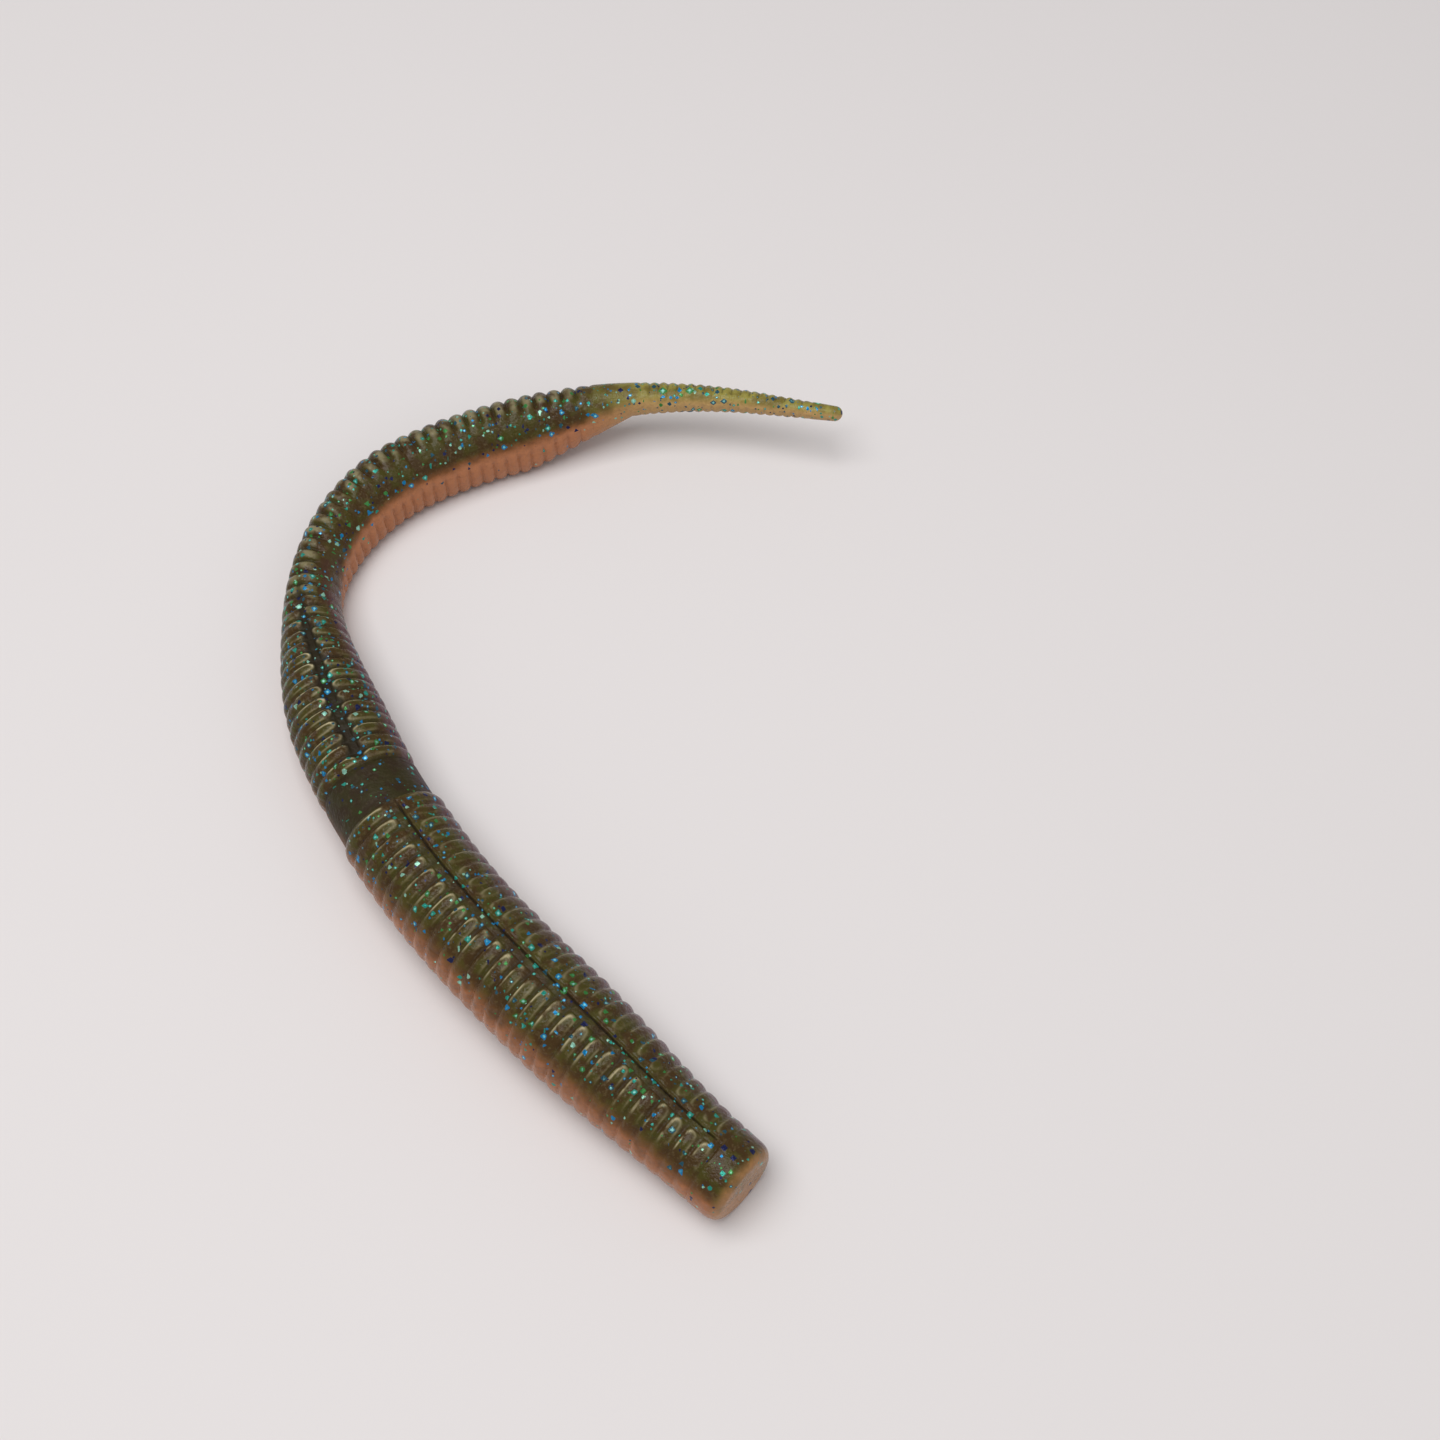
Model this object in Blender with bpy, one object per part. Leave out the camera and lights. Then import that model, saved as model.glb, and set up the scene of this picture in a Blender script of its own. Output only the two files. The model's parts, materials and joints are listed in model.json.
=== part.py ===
"""A ribbed soft plastic fishing worm, two-tone, lying belly down in a J bend.

The worm is cast in two pours, an olive back over an orange belly. It is cut across into links that
swing on each other, so each link has a back piece and a belly piece. Metres, +Z up, nose to tail.
"""

import math

import bmesh
import bpy
import numpy as np
from mathutils import Matrix, Vector

# Lengths along the centreline, from the nose face
NOSE_RING_L = 0.0033
HEAD_L = 0.0496
BAND_L = 0.0054
BODY_L = 0.0675
TAIL_CONE_L = 0.0030
TAIL_L = 0.0233
TIP_L = 0.0026

# Outside diameters over the rib crests
NOSE_FACE_D = 0.0060
NOSE_D = 0.0082
HEAD_D = 0.0108
BAND_D = 0.0099
MID_D = 0.0102
BEND_W = 0.0053
BEND_H = 0.0078
REAR_W = 0.0063
REAR_H = 0.0087
TAIL_ROOT_D = 0.0037
TAIL_END_D = 0.0016

# Where those diameters are reached
HEAD_SWELL_L = 0.0240
MID_FULL_L = 0.0056
BEND_AT = 0.0291
REAR_AT = 0.0443
STERN_L = 0.0100
STERN_POWER = 1.35

# Ribs and the hook slot
HEAD_PITCH = 0.00166
BODY_PITCH = 0.00152
TAIL_PITCH = 0.00098
HEAD_RIB_DEPTH = 0.00045
BODY_RIB_DEPTH = 0.00042
TAIL_RIB_DEPTH = 0.00028
FLANK_FADE = 0.65
SLOT_START = 0.0050
SLOT_DEPTH = 0.0008
SLOT_ANGLE = 9.0
SADDLE_DEPTH = 0.0006
SADDLE_ANGLE = 19.0
SADDLE_FADE_L = 0.0300

# How the worm lies
START_HEADING = 139.1
NECK_AT = 0.0318
WAIST_AT = 0.0633
CURL_AT = 0.0763
CURL_END = 0.1003
HOOK_AT = 0.1233
TIP_AT = 0.1393
HEAD_TURN = -5.0
NECK_TURN = -19.4
WAIST_TURN = -13.7
CURL_TURN = -68.9
REAR_TURN = -27.5
HOOK_TURN = -17.6
ROLL = -10.0
LEAN = 27.0
LEAN_START = 0.0660
LEAN_END = 0.0920
FLAT_DEPTH = 0.00055

# Links: each one after the nose is named with its hinge, and the hinges of a run are evenly spaced
HEAD_LINKS = ("head_front", "head_mid", "head_rear")
BODY_LINKS = ("mid_rear", "bend_entry", "bend_exit", "rear_front", "rear_mid", "stern", "tail_root")
TAIL_LINKS = ("tail_front", "tail_tip")
FIRST_HINGE = 0.0070
LAST_HEAD_HINGE = 0.0165
BEHIND_BAND = 0.0040
BEFORE_ROOT = 0.0020
BEHIND_CONE = 0.0020
BEFORE_TIP = 0.0110
NODDING = ("tail_front",)
BUTT_GAP = 0.0003
SEAM_GAP = 0.0003
SWIVEL_GAP = 0.0003
SWIVEL_RATIO = 1.2
SEAM_DIP = 6.0
ARC_STEPS = 24
BACK_STEPS = 3
BELLY_STEPS = 9
TAIL_STEPS = 12
PATH_STEP = 0.0001
RIM_SHARE = 0.2

OLIVE = (0.060, 0.055, 0.016, 1.0)
TERRACOTTA = (0.480, 0.180, 0.075, 1.0)
AMBER = (0.300, 0.205, 0.045, 1.0)

BAND_END = HEAD_L + BAND_L
ROOT_AT = BAND_END + BODY_L
CONE_END = ROOT_AT + TAIL_CONE_L
LENGTH = CONE_END + TAIL_L


def spread(names, first, last):
    """Names with evenly spaced distances from first to last."""
    return {name: first + (last - first) * k / (len(names) - 1) for k, name in enumerate(names)}


HINGE_AT = {
    **spread(HEAD_LINKS, FIRST_HINGE, HEAD_L - LAST_HEAD_HINGE),
    **spread(BODY_LINKS, BAND_END + BEHIND_BAND, ROOT_AT - BEFORE_ROOT),
    **spread(TAIL_LINKS, CONE_END + BEHIND_CONE, LENGTH - BEFORE_TIP),
}


def ease(at, start, end):
    """0 before start, 1 after end, with a smooth rise between them."""
    x = min(max((at - start) / (end - start), 0.0), 1.0)
    return x * x * (3.0 - 2.0 * x)


def along(at, stations):
    """The value at one distance, eased between (distance, value) stations."""
    value = stations[0][1]
    for (start, low), (end, high) in zip(stations, stations[1:]):
        value = low + (high - low) * ease(at, start, end) if at > start else value
    return value


def half_span(at, bend, rear):
    """Half the section over the rib crests, which is bend across at the bend and rear across behind it."""
    if HEAD_L < at < BAND_END:
        return BAND_D / 2.0
    if at > CONE_END:
        return (TAIL_ROOT_D + (TAIL_END_D - TAIL_ROOT_D) * (at - CONE_END) / TAIL_L) / 2.0
    stations = [
        (0.0, NOSE_D),
        (HEAD_SWELL_L, HEAD_D),
        (HEAD_L, HEAD_D),
        (BAND_END, MID_D),
        (BAND_END + MID_FULL_L, MID_D),
        (BAND_END + BEND_AT, bend),
        (BAND_END + REAR_AT, rear),
    ]
    stern = max(0.0, (at - ROOT_AT + STERN_L) / (TAIL_CONE_L + STERN_L)) ** STERN_POWER
    return (along(at, stations) + (TAIL_ROOT_D - rear) * stern) / 2.0


def half_width(at):
    return half_span(at, BEND_W, REAR_W)


def half_height(at):
    return half_span(at, BEND_H, REAR_H)


def lean(at):
    """How far the section has rolled towards the outside of the bend, in radians. The head rolls inward."""
    return math.radians(ROLL + (LEAN - ROLL) * ease(at, LEAN_START, LEAN_END))


def rise(at):
    """How far the centre climbs so that the back runs on in one line where the belly ends."""
    return max(0.0, REAR_H / 2.0 - half_height(at)) if at > ROOT_AT - STERN_L else 0.0


def world_half_height(at):
    """Half the upright height of the leaning section."""
    return math.hypot(half_height(at) * math.cos(lean(at)), half_width(at) * math.sin(lean(at)))


def world_half_width(at):
    """Half the level width of the leaning section."""
    return math.hypot(half_width(at) * math.cos(lean(at)), half_height(at) * math.sin(lean(at)))


def heading(at):
    """The direction of travel from nose to tail, in radians from +X."""
    turns = [
        (0.0, NECK_AT, HEAD_TURN),
        (NECK_AT, WAIST_AT, NECK_TURN),
        (WAIST_AT, CURL_AT, WAIST_TURN),
        (CURL_AT, CURL_END, CURL_TURN),
        (CURL_END, HOOK_AT, REAR_TURN),
        (HOOK_AT, TIP_AT, HOOK_TURN),
    ]
    angle = START_HEADING
    for start, end, turn in turns:
        angle += turn * min(max((at - start) / (end - start), 0.0), 1.0)
    return math.radians(angle)


class Centreline:
    """The curve that the worm lies along, summed from its heading in short steps."""

    def __init__(self):
        steps = math.ceil(LENGTH / PATH_STEP)
        self.at = np.linspace(0.0, LENGTH, steps + 1)
        middles = (self.at[1:] + self.at[:-1]) / 2.0
        angles = np.array([heading(at) for at in middles])
        moves = np.diff(self.at)[:, None] * np.stack([np.cos(angles), np.sin(angles)], axis=1)
        self.points = np.vstack([np.zeros((1, 2)), np.cumsum(moves, axis=0)])
        self.points -= self.middle_of_outline()

    def middle_of_outline(self):
        """The middle of the box around the worm seen from above."""
        behind_rim = self.at >= NOSE_RING_L * RIM_SHARE
        distances = self.at[behind_rim]
        widths = np.array([world_half_width(at) for at in distances])
        angles = np.array([heading(at) for at in distances])
        left = np.stack([-np.sin(angles), np.cos(angles)], axis=1)
        shift = np.array([rise(at) * math.sin(lean(at)) for at in distances])
        line = self.points[behind_rim] + left * shift[:, None]
        sides = np.vstack([line + left * widths[:, None], line - left * widths[:, None]])
        return (sides.max(axis=0) + sides.min(axis=0)) / 2.0

    def axes(self, at):
        """Unit vectors of the leaning section: right, up, and the way to the tail."""
        angle = heading(at)
        left = Vector((-math.sin(angle), math.cos(angle), 0.0))
        up = Vector((0.0, 0.0, 1.0)) * math.cos(lean(at)) + left * math.sin(lean(at))
        tailward = Vector((math.cos(angle), math.sin(angle), 0.0))
        return tailward.cross(up), up, tailward

    def centre(self, at):
        """The middle of the section, with the belly FLAT_DEPTH under the resting plane."""
        flat_x = float(np.interp(at, self.at, self.points[:, 0]))
        flat_y = float(np.interp(at, self.at, self.points[:, 1]))
        resting = min(at, ROOT_AT - STERN_L)
        _, up, tailward = self.axes(at)
        past_end = tailward * max(0.0, at - LENGTH)
        base = Vector((flat_x, flat_y, world_half_height(resting) - FLAT_DEPTH))
        return base + up * rise(at) + past_end


def slot_of(at):
    """Depth and half angle of the dorsal slot, narrow in the head and a wide saddle behind the band."""
    head = ease(at, SLOT_START - NOSE_RING_L / 2.0, SLOT_START) * (at < HEAD_L)
    fade_start = BAND_END + SADDLE_FADE_L
    body = (at > BAND_END) * (1.0 - ease(at, fade_start - SADDLE_FADE_L / 2.0, fade_start))
    angle = SLOT_ANGLE if at <= BAND_END else SADDLE_ANGLE
    return SLOT_DEPTH * head + SADDLE_DEPTH * body, math.radians(angle)


def rib_depth(at):
    if HEAD_L < at < BAND_END:
        return 0.0
    if at <= HEAD_L:
        return HEAD_RIB_DEPTH
    return BODY_RIB_DEPTH if at < ROOT_AT else TAIL_RIB_DEPTH


def ring_stations():
    """(distance, crest share) of every ring: 1 on a rib crest, 0 in the groove beside it."""
    rings = [(NOSE_RING_L * share, 1.0) for share in (RIM_SHARE, 1.0 - RIM_SHARE)]
    head_ribs = round((HEAD_L - NOSE_RING_L) / HEAD_PITCH)
    body_ribs = round(BODY_L / BODY_PITCH)
    tail_ribs = round((TAIL_L - TIP_L) / TAIL_PITCH)
    runs = [(NOSE_RING_L, HEAD_L, head_ribs), (BAND_END, ROOT_AT, body_ribs)]
    runs.append((CONE_END, LENGTH - TIP_L, tail_ribs))
    for start, end, ribs in runs:
        for half in range(2 * ribs + 1):
            rings.append((start + (end - start) * half / (2 * ribs), float(half % 2)))
    rings += [(LENGTH - TIP_L * share, 1.0) for share in (1.0 - RIM_SHARE, RIM_SHARE)]
    return rings


def relief(at, crest, angle):
    """How far a point lies under the rib crests. The flat flanks of the rear have weaker ribs."""
    flatness = 1.0 - half_width(at) / half_height(at)
    fade = min(1.0, FLANK_FADE * flatness / (1.0 - REAR_W / REAR_H)) * math.cos(angle) ** 2
    return rib_depth(at) * (1.0 - crest) * (1.0 - fade)


def surface_point(line, at, crest, angle, sink=0.0, shift=0.0):
    """A point of the skin at one angle: 0 right, 90 top, 180 left. None lies under the resting plane."""
    right, up, _ = line.axes(at)
    down = relief(at, crest, angle)
    across = (half_width(at) - down) * math.cos(angle)
    above = (half_height(at) - down - sink) * math.sin(angle) + shift
    point = line.centre(at) + right * across + up * above
    point.z = max(point.z, 0.0)
    return point


def back_ring(line, at, crest):
    """The back's outline, right seam over the slot to left seam."""
    depth, shoulder = slot_of(at)
    dip = math.radians(SEAM_DIP)
    edge = math.pi / 2.0 - shoulder
    right_side = [-dip + (edge + dip) * step / BACK_STEPS for step in range(BACK_STEPS + 1)]
    lift = SEAM_GAP / 2.0
    points = []
    for angle in right_side:
        shift = lift if angle == right_side[0] else 0.0
        points.append(surface_point(line, at, crest, angle, 0.0, shift))
    points.append(surface_point(line, at, crest, math.pi / 2.0, depth))
    for angle in reversed(right_side):
        shift = lift if angle == right_side[0] else 0.0
        points.append(surface_point(line, at, crest, math.pi - angle, 0.0, shift))
    return points


def belly_ring(line, at, crest):
    """The belly's outline, left seam under the worm to right seam."""
    dip = math.radians(SEAM_DIP)
    sweep = math.pi - 2.0 * dip
    points = []
    for step in range(BELLY_STEPS + 1):
        shift = -SEAM_GAP / 2.0 if step in (0, BELLY_STEPS) else 0.0
        angle = math.pi + dip + sweep * step / BELLY_STEPS
        points.append(surface_point(line, at, crest, angle, 0.0, shift))
    return points


def tail_ring(line, at, crest):
    """The whole outline of the thin tail."""
    turn = 2.0 * math.pi / TAIL_STEPS
    return [surface_point(line, at, crest, turn * step) for step in range(TAIL_STEPS)]


def crest_share(at):
    """The rib height at any distance, read between the rings on either side."""
    rings = ring_stations()
    return float(np.interp(at, [ring[0] for ring in rings], [ring[1] for ring in rings]))


def loft(name, line, outline, start, end, origin):
    """A closed mesh through the outlines of every ring from start to end."""
    inner = [ring for ring in ring_stations() if start + PATH_STEP < ring[0] < end - PATH_STEP]
    rings = [(start, crest_share(start))] + inner + [(end, crest_share(end))]
    mesh = bmesh.new()
    rows = []
    for at, crest in rings:
        rows.append([mesh.verts.new(point - origin) for point in outline(line, at, crest)])
    if start == 0.0:
        shrink_to(rows[0], NOSE_FACE_D / NOSE_D)
    if end == LENGTH:
        shrink_to(rows[-1], 0.5)
    for row, following in zip(rows, rows[1:]):
        for index in range(len(row)):
            after = (index + 1) % len(row)
            mesh.faces.new((row[index], row[after], following[after], following[index]))
    mesh.faces.new(rows[0])
    mesh.faces.new(rows[-1])
    bmesh.ops.recalc_face_normals(mesh, faces=mesh.faces)
    return finish_mesh(name, mesh)


def shrink_to(row, share):
    """Draws an end ring in towards the middle of its flat side, which rounds the rim."""
    middle = (row[0].co + row[-1].co) / 2.0
    if len(row) == TAIL_STEPS:
        middle = sum((vert.co for vert in row), Vector()) / len(row)
    for vert in row:
        vert.co = middle + (vert.co - middle) * share


def finish_mesh(name, mesh):
    data = bpy.data.meshes.new(name)
    mesh.to_mesh(data)
    mesh.free()
    return data


def prism(name, outline, hinge, axis, tailward, reach):
    """A hidden cutter: an outline in the plane across a hinge axis, extruded both ways along it."""
    side = axis.cross(tailward)
    mesh = bmesh.new()
    rows = []
    for level in (-reach, reach):
        rows.append([mesh.verts.new(tailward * x + side * y + axis * level) for x, y in outline])
    for index in range(len(outline)):
        after = (index + 1) % len(outline)
        mesh.faces.new((rows[0][index], rows[0][after], rows[1][after], rows[1][index]))
    mesh.faces.new(rows[0])
    mesh.faces.new(rows[1])
    bmesh.ops.recalc_face_normals(mesh, faces=mesh.faces)
    cutter = bpy.data.objects.new(name, finish_mesh(name, mesh))
    cutter.location = hinge
    cutter.hide_render = True
    cutter.display_type = "WIRE"
    bpy.context.scene.collection.objects.link(cutter)
    return cutter


def arc(radius, start, end, steps):
    angles = [start + (end - start) * step / steps for step in range(steps + 1)]
    return [(radius * math.cos(angle), radius * math.sin(angle)) for angle in angles]


class Hinge:
    """A swivel between two links: a round end on the front link in a round socket on the next."""

    def __init__(self, line, name):
        at = HINGE_AT[name]
        tailward = line.axes(at)[2]
        level = Vector((0.0, 0.0, 1.0))
        nods = name in NODDING
        self.at = at
        self.axis = tailward.cross(level) if nods else level
        across = world_half_height(at) if nods else world_half_width(at)
        self.radius = SWIVEL_RATIO * across
        self.place = line.centre(at)
        reach = 2.0 * HEAD_D
        ball = arc(self.radius, math.pi / 2.0, -math.pi / 2.0, ARC_STEPS)
        corners = [(0.0, -reach), (reach, -reach), (reach, reach), (0.0, reach)]
        socket = arc(self.radius + SWIVEL_GAP, 0.0, 2.0 * math.pi, 2 * ARC_STEPS)[:-1]
        self.end_cutter = prism(f"{name}_end_cutter", ball + corners, self.place, self.axis, tailward, reach)
        self.socket_cutter = prism(f"{name}_socket_cutter", socket, self.place, self.axis, tailward, reach)


def material(name, colour, roughness):
    made = bpy.data.materials.new(name)
    made.use_nodes = True
    shader = made.node_tree.nodes["Principled BSDF"]
    shader.inputs["Base Color"].default_value = colour
    shader.inputs["Roughness"].default_value = roughness
    shader.inputs["Metallic"].default_value = 0.0
    return made


def cut(piece, cutter):
    step = piece.modifiers.new(cutter.name, "BOOLEAN")
    step.operation = "DIFFERENCE"
    step.solver = "EXACT"
    step.object = cutter


def piece(name, data, finish, pivot, cutters):
    """One named solid on its link's pivot, with its round ends cut."""
    made = bpy.data.objects.new(name, data)
    bpy.context.scene.collection.objects.link(made)
    data.materials.append(finish)
    data.shade_smooth()
    data.set_sharp_from_angle(angle=math.radians(40.0))
    made.parent = pivot
    for cutter in cutters:
        cut(made, cutter)
    return made


def pivot_empty(name, place, parent, parent_place):
    made = bpy.data.objects.new(name, None)
    made.empty_display_size = HEAD_D
    made.matrix_parent_inverse = Matrix.Identity(4)
    made.parent = parent
    made.location = place - parent_place
    bpy.context.scene.collection.objects.link(made)
    return made


def stretches(name, start, end):
    """The pieces of one link as (name, start, end): head_rear also holds the band and what follows it."""
    if name != "head_rear":
        return [(name, start, end)]
    half = BUTT_GAP / 2.0
    return [
        (name, start, HEAD_L - half),
        ("band", HEAD_L + half, BAND_END - half),
        ("mid_front", BAND_END + half, end),
    ]


def build_link(name, line, front, behind, pivot, origin, finishes):
    """All pieces of one link between its own hinge in front and the next link's hinge behind."""
    start = front.at if front else 0.0
    end = behind.at + behind.radius * SWIVEL_RATIO if behind else LENGTH
    for part, first, last in stretches(name, start, end):
        cutters = [front.socket_cutter] if front and first == start else []
        cutters += [behind.end_cutter] if behind and last == end else []
        if name.startswith("tail"):
            mesh = loft(part, line, tail_ring, first, last, origin)
            piece(part, mesh, finishes["tail"], pivot, cutters)
            continue
        for half, outline in (("top", back_ring), ("belly", belly_ring)):
            mesh = loft(f"{part}_{half}", line, outline, first, last, origin)
            piece(f"{part}_{half}", mesh, finishes[half], pivot, cutters)


def main():
    for old in list(bpy.data.objects):
        bpy.data.objects.remove(old, do_unlink=True)
    finishes = {
        "top": material("olive_back", OLIVE, 0.25),
        "belly": material("terracotta_belly", TERRACOTTA, 0.30),
        "tail": material("amber_tail", AMBER, 0.25),
    }
    line = Centreline()
    hinges = {name: Hinge(line, name) for name in HINGE_AT}
    links = ["nose"] + list(HINGE_AT)
    pivot = None
    place = Vector()
    for index, name in enumerate(links):
        front = hinges.get(name)
        behind = hinges[links[index + 1]] if index + 1 < len(links) else None
        new_place = front.place if front else line.centre(0.0)
        pivot = pivot_empty(f"{name}_pivot", new_place, pivot, place)
        place = new_place
        build_link(name, line, front, behind, pivot, place, finishes)


main()
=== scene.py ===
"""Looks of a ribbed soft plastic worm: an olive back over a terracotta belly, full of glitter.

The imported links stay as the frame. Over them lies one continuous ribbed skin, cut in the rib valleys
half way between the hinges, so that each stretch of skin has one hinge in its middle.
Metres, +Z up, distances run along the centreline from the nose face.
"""

import json
import logging
import math
from dataclasses import dataclass, field
from enum import Enum
from typing import Any

import bpy
import numpy as np
from bpy.types import Material, Mesh, Node, NodeSocket, NodeTree, Object
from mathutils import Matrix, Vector

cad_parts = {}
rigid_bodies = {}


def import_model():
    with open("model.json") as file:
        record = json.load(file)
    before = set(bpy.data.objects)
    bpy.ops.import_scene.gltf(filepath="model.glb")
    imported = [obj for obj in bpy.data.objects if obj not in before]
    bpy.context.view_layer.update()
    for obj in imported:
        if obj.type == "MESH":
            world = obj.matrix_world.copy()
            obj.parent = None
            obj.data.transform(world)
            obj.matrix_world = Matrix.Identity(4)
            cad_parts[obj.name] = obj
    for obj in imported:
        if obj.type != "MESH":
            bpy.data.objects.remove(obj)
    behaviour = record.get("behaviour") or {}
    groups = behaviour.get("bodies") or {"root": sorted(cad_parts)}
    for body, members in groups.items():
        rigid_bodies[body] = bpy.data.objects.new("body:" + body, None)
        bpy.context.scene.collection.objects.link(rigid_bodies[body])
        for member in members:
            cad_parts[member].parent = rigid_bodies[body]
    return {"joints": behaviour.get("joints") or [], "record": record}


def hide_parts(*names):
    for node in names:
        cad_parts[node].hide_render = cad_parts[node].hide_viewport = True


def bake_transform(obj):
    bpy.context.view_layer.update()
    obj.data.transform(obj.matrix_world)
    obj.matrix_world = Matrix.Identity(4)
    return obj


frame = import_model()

LOG = logging.getLogger("worm")
TOP_ANGLE = 90.0
LEFT_ANGLE = 180.0
NO_SIZE = 1e-9
NO_LENGTH = 1e-15

Array = np.ndarray
Triple = tuple[float, float, float]
Window = tuple[float, float]


class Half(Enum):
    """Which pour of the casting a stretch of skin belongs to."""

    BACK = "top"
    BELLY = "belly"
    WHOLE = "whole"

    @property
    def slot(self) -> str:
        """Material slot of the pour."""
        return {"top": "olive_back", "belly": "terracotta_belly", "whole": "amber_tail"}[self.value]


def ease(at: Array, start: float, end: float) -> Array:
    """Rises smoothly from 0 at start to 1 at end."""
    share = np.clip((np.asarray(at, float) - start) / (end - start), 0.0, 1.0)
    return share * share * (3.0 - 2.0 * share)


def hump(at: Array, start: float, full: float, fall: float, end: float) -> Array:
    """Rises smoothly from 0 at start to 1 at full, and falls back from fall to end."""
    return ease(at, start, full) * (1.0 - ease(at, fall, end))


def between(low: Any, high: Any, share: Array) -> Array:
    """Goes from low to high while the share goes from 0 to 1."""
    return low + (high - low) * share


def height_angle(angle: Array) -> Array:
    """Degrees above the middle of the section, from -90 under the belly to 90 on the back."""
    return np.degrees(np.arcsin(np.clip(np.sin(np.radians(angle)), -1.0, 1.0)))


@dataclass(frozen=True)
class RibRun:
    """A row of equal ribs between two smooth stretches."""

    start: float
    end: float
    pitch: float
    depth: float
    slope: Window = (0.35, 0.65)

    @property
    def count(self) -> int:
        """Whole ribs in the run."""
        return round((self.end - self.start) / self.pitch)

    def valleys(self) -> Array:
        """Distances of the grooves, with one at each end of the run."""
        return np.linspace(self.start, self.end, self.count + 1)

    def holds(self, at: Array) -> Array:
        """True where a distance lies in the run."""
        return (at >= self.start) & (at <= self.end)

    def turns(self, at: Array) -> Array:
        """Number of ribs in front of each distance, with parts of a rib."""
        return (at - self.start) / (self.end - self.start) * self.count

    def crest(self, at: Array, roundness: float) -> Array:
        """Rib profile: 0 in a groove, 1 on a crest. Roundness below 1 gives broad crests."""
        return np.where(self.holds(at), np.abs(np.sin(math.pi * self.turns(at))) ** roundness, 0.0)

    def tail_side(self, at: Array) -> Array:
        """Share of a rib's slope that looks towards the tail: 0 on its front, 1 on its rear."""
        turns = self.turns(at)
        return ease(turns - np.floor(turns), *self.slope)


@dataclass(frozen=True)
class WormForm:
    """Sizes of the worm and the curve it lies along."""

    nose_ring_l: float = 0.0033
    head_l: float = 0.0496
    band_l: float = 0.0054
    body_l: float = 0.0675
    cone_l: float = 0.0030
    tail_l: float = 0.0233
    tip_l: float = 0.0026
    nose_face_d: float = 0.0060
    nose_d: float = 0.0082
    head_d: float = 0.0108
    band_d: float = 0.0099
    mid_d: float = 0.0102
    bend_w: float = 0.0053
    bend_h: float = 0.0078
    rear_w: float = 0.0063
    rear_h: float = 0.0087
    tail_root_d: float = 0.0037
    tail_end_d: float = 0.0016
    head_swell_l: float = 0.0240
    mid_full_l: float = 0.0056
    bend_at: float = 0.0291
    rear_at: float = 0.0443
    stern_l: float = 0.0100
    stern_power: float = 1.35
    start_heading: float = 139.1
    turns: tuple[Triple, ...] = (
        (0.0, 0.0318, -5.0),
        (0.0318, 0.0633, -19.4),
        (0.0633, 0.0763, -13.7),
        (0.0763, 0.1003, -68.9),
        (0.1003, 0.1233, -27.5),
        (0.1233, 0.1393, -17.6),
    )
    roll_angle: float = -10.0
    lean_angle: float = 27.0
    lean_run: Window = (0.0660, 0.0920)
    flat_depth: float = 0.00055
    path_step: float = 0.0001

    @property
    def band_end(self) -> float:
        """Where the ribs begin again behind the smooth band."""
        return self.head_l + self.band_l

    @property
    def root_at(self) -> float:
        """Where the body's ribs end in front of the tail."""
        return self.band_end + self.body_l

    @property
    def cone_end(self) -> float:
        """Where the thin tail begins."""
        return self.root_at + self.cone_l

    @property
    def length(self) -> float:
        """Length along the centreline."""
        return self.cone_end + self.tail_l

    def half_span(self, at: Array, bend: float, rear: float) -> Array:
        """Half of the section's size over the rib crests.

        Args:
            at: Distances along the worm.
            bend: Size at the narrowest place of the bend.
            rear: Size of the full rear body.

        Returns:
            The half size at each distance.
        """
        stations = [
            (0.0, self.nose_d),
            (self.head_swell_l, self.head_d),
            (self.head_l, self.head_d),
            (self.band_end, self.mid_d),
            (self.band_end + self.mid_full_l, self.mid_d),
            (self.band_end + self.bend_at, bend),
            (self.band_end + self.rear_at, rear),
        ]
        span = np.full(at.shape, stations[0][1])
        for (start, low), (end, high) in zip(stations, stations[1:]):
            span = np.where(at > start, between(low, high, ease(at, start, end)), span)
        share = np.maximum(0.0, at - self.root_at + self.stern_l) / (self.cone_l + self.stern_l)
        span = span + (self.tail_root_d - rear) * share**self.stern_power
        tail = between(self.tail_root_d, self.tail_end_d, (at - self.cone_end) / self.tail_l)
        return np.where(at > self.cone_end, tail, span) / 2.0

    def half_width(self, at: Array) -> Array:
        """Half of the section's own width."""
        return self.half_span(at, self.bend_w, self.rear_w)

    def half_height(self, at: Array) -> Array:
        """Half of the section's own height."""
        return self.half_span(at, self.bend_h, self.rear_h)

    def lean(self, at: Array) -> Array:
        """Roll of the section towards the outside of the bend, in radians. The head rolls inward."""
        return np.radians(between(self.roll_angle, self.lean_angle, ease(at, *self.lean_run)))

    def heading(self, at: Array) -> Array:
        """Direction of travel from nose to tail, in radians from +X."""
        angle = np.full(at.shape, self.start_heading)
        for start, end, turn in self.turns:
            angle = angle + turn * np.clip((at - start) / (end - start), 0.0, 1.0)
        return np.radians(angle)

    def rise(self, at: Array) -> Array:
        """Climb of the centre that keeps the back in one line where the belly ends."""
        climb = np.maximum(0.0, self.rear_h / 2.0 - self.half_height(at))
        return np.where(at > self.root_at - self.stern_l, climb, 0.0)

    def rest_height(self, at: Array) -> Array:
        """Height of the centre of a section that rests on the ground."""
        resting = np.minimum(at, self.root_at - self.stern_l)
        upright = self.half_height(resting) * np.cos(self.lean(resting))
        level = self.half_width(resting) * np.sin(self.lean(resting))
        return np.hypot(upright, level) - self.flat_depth


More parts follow.
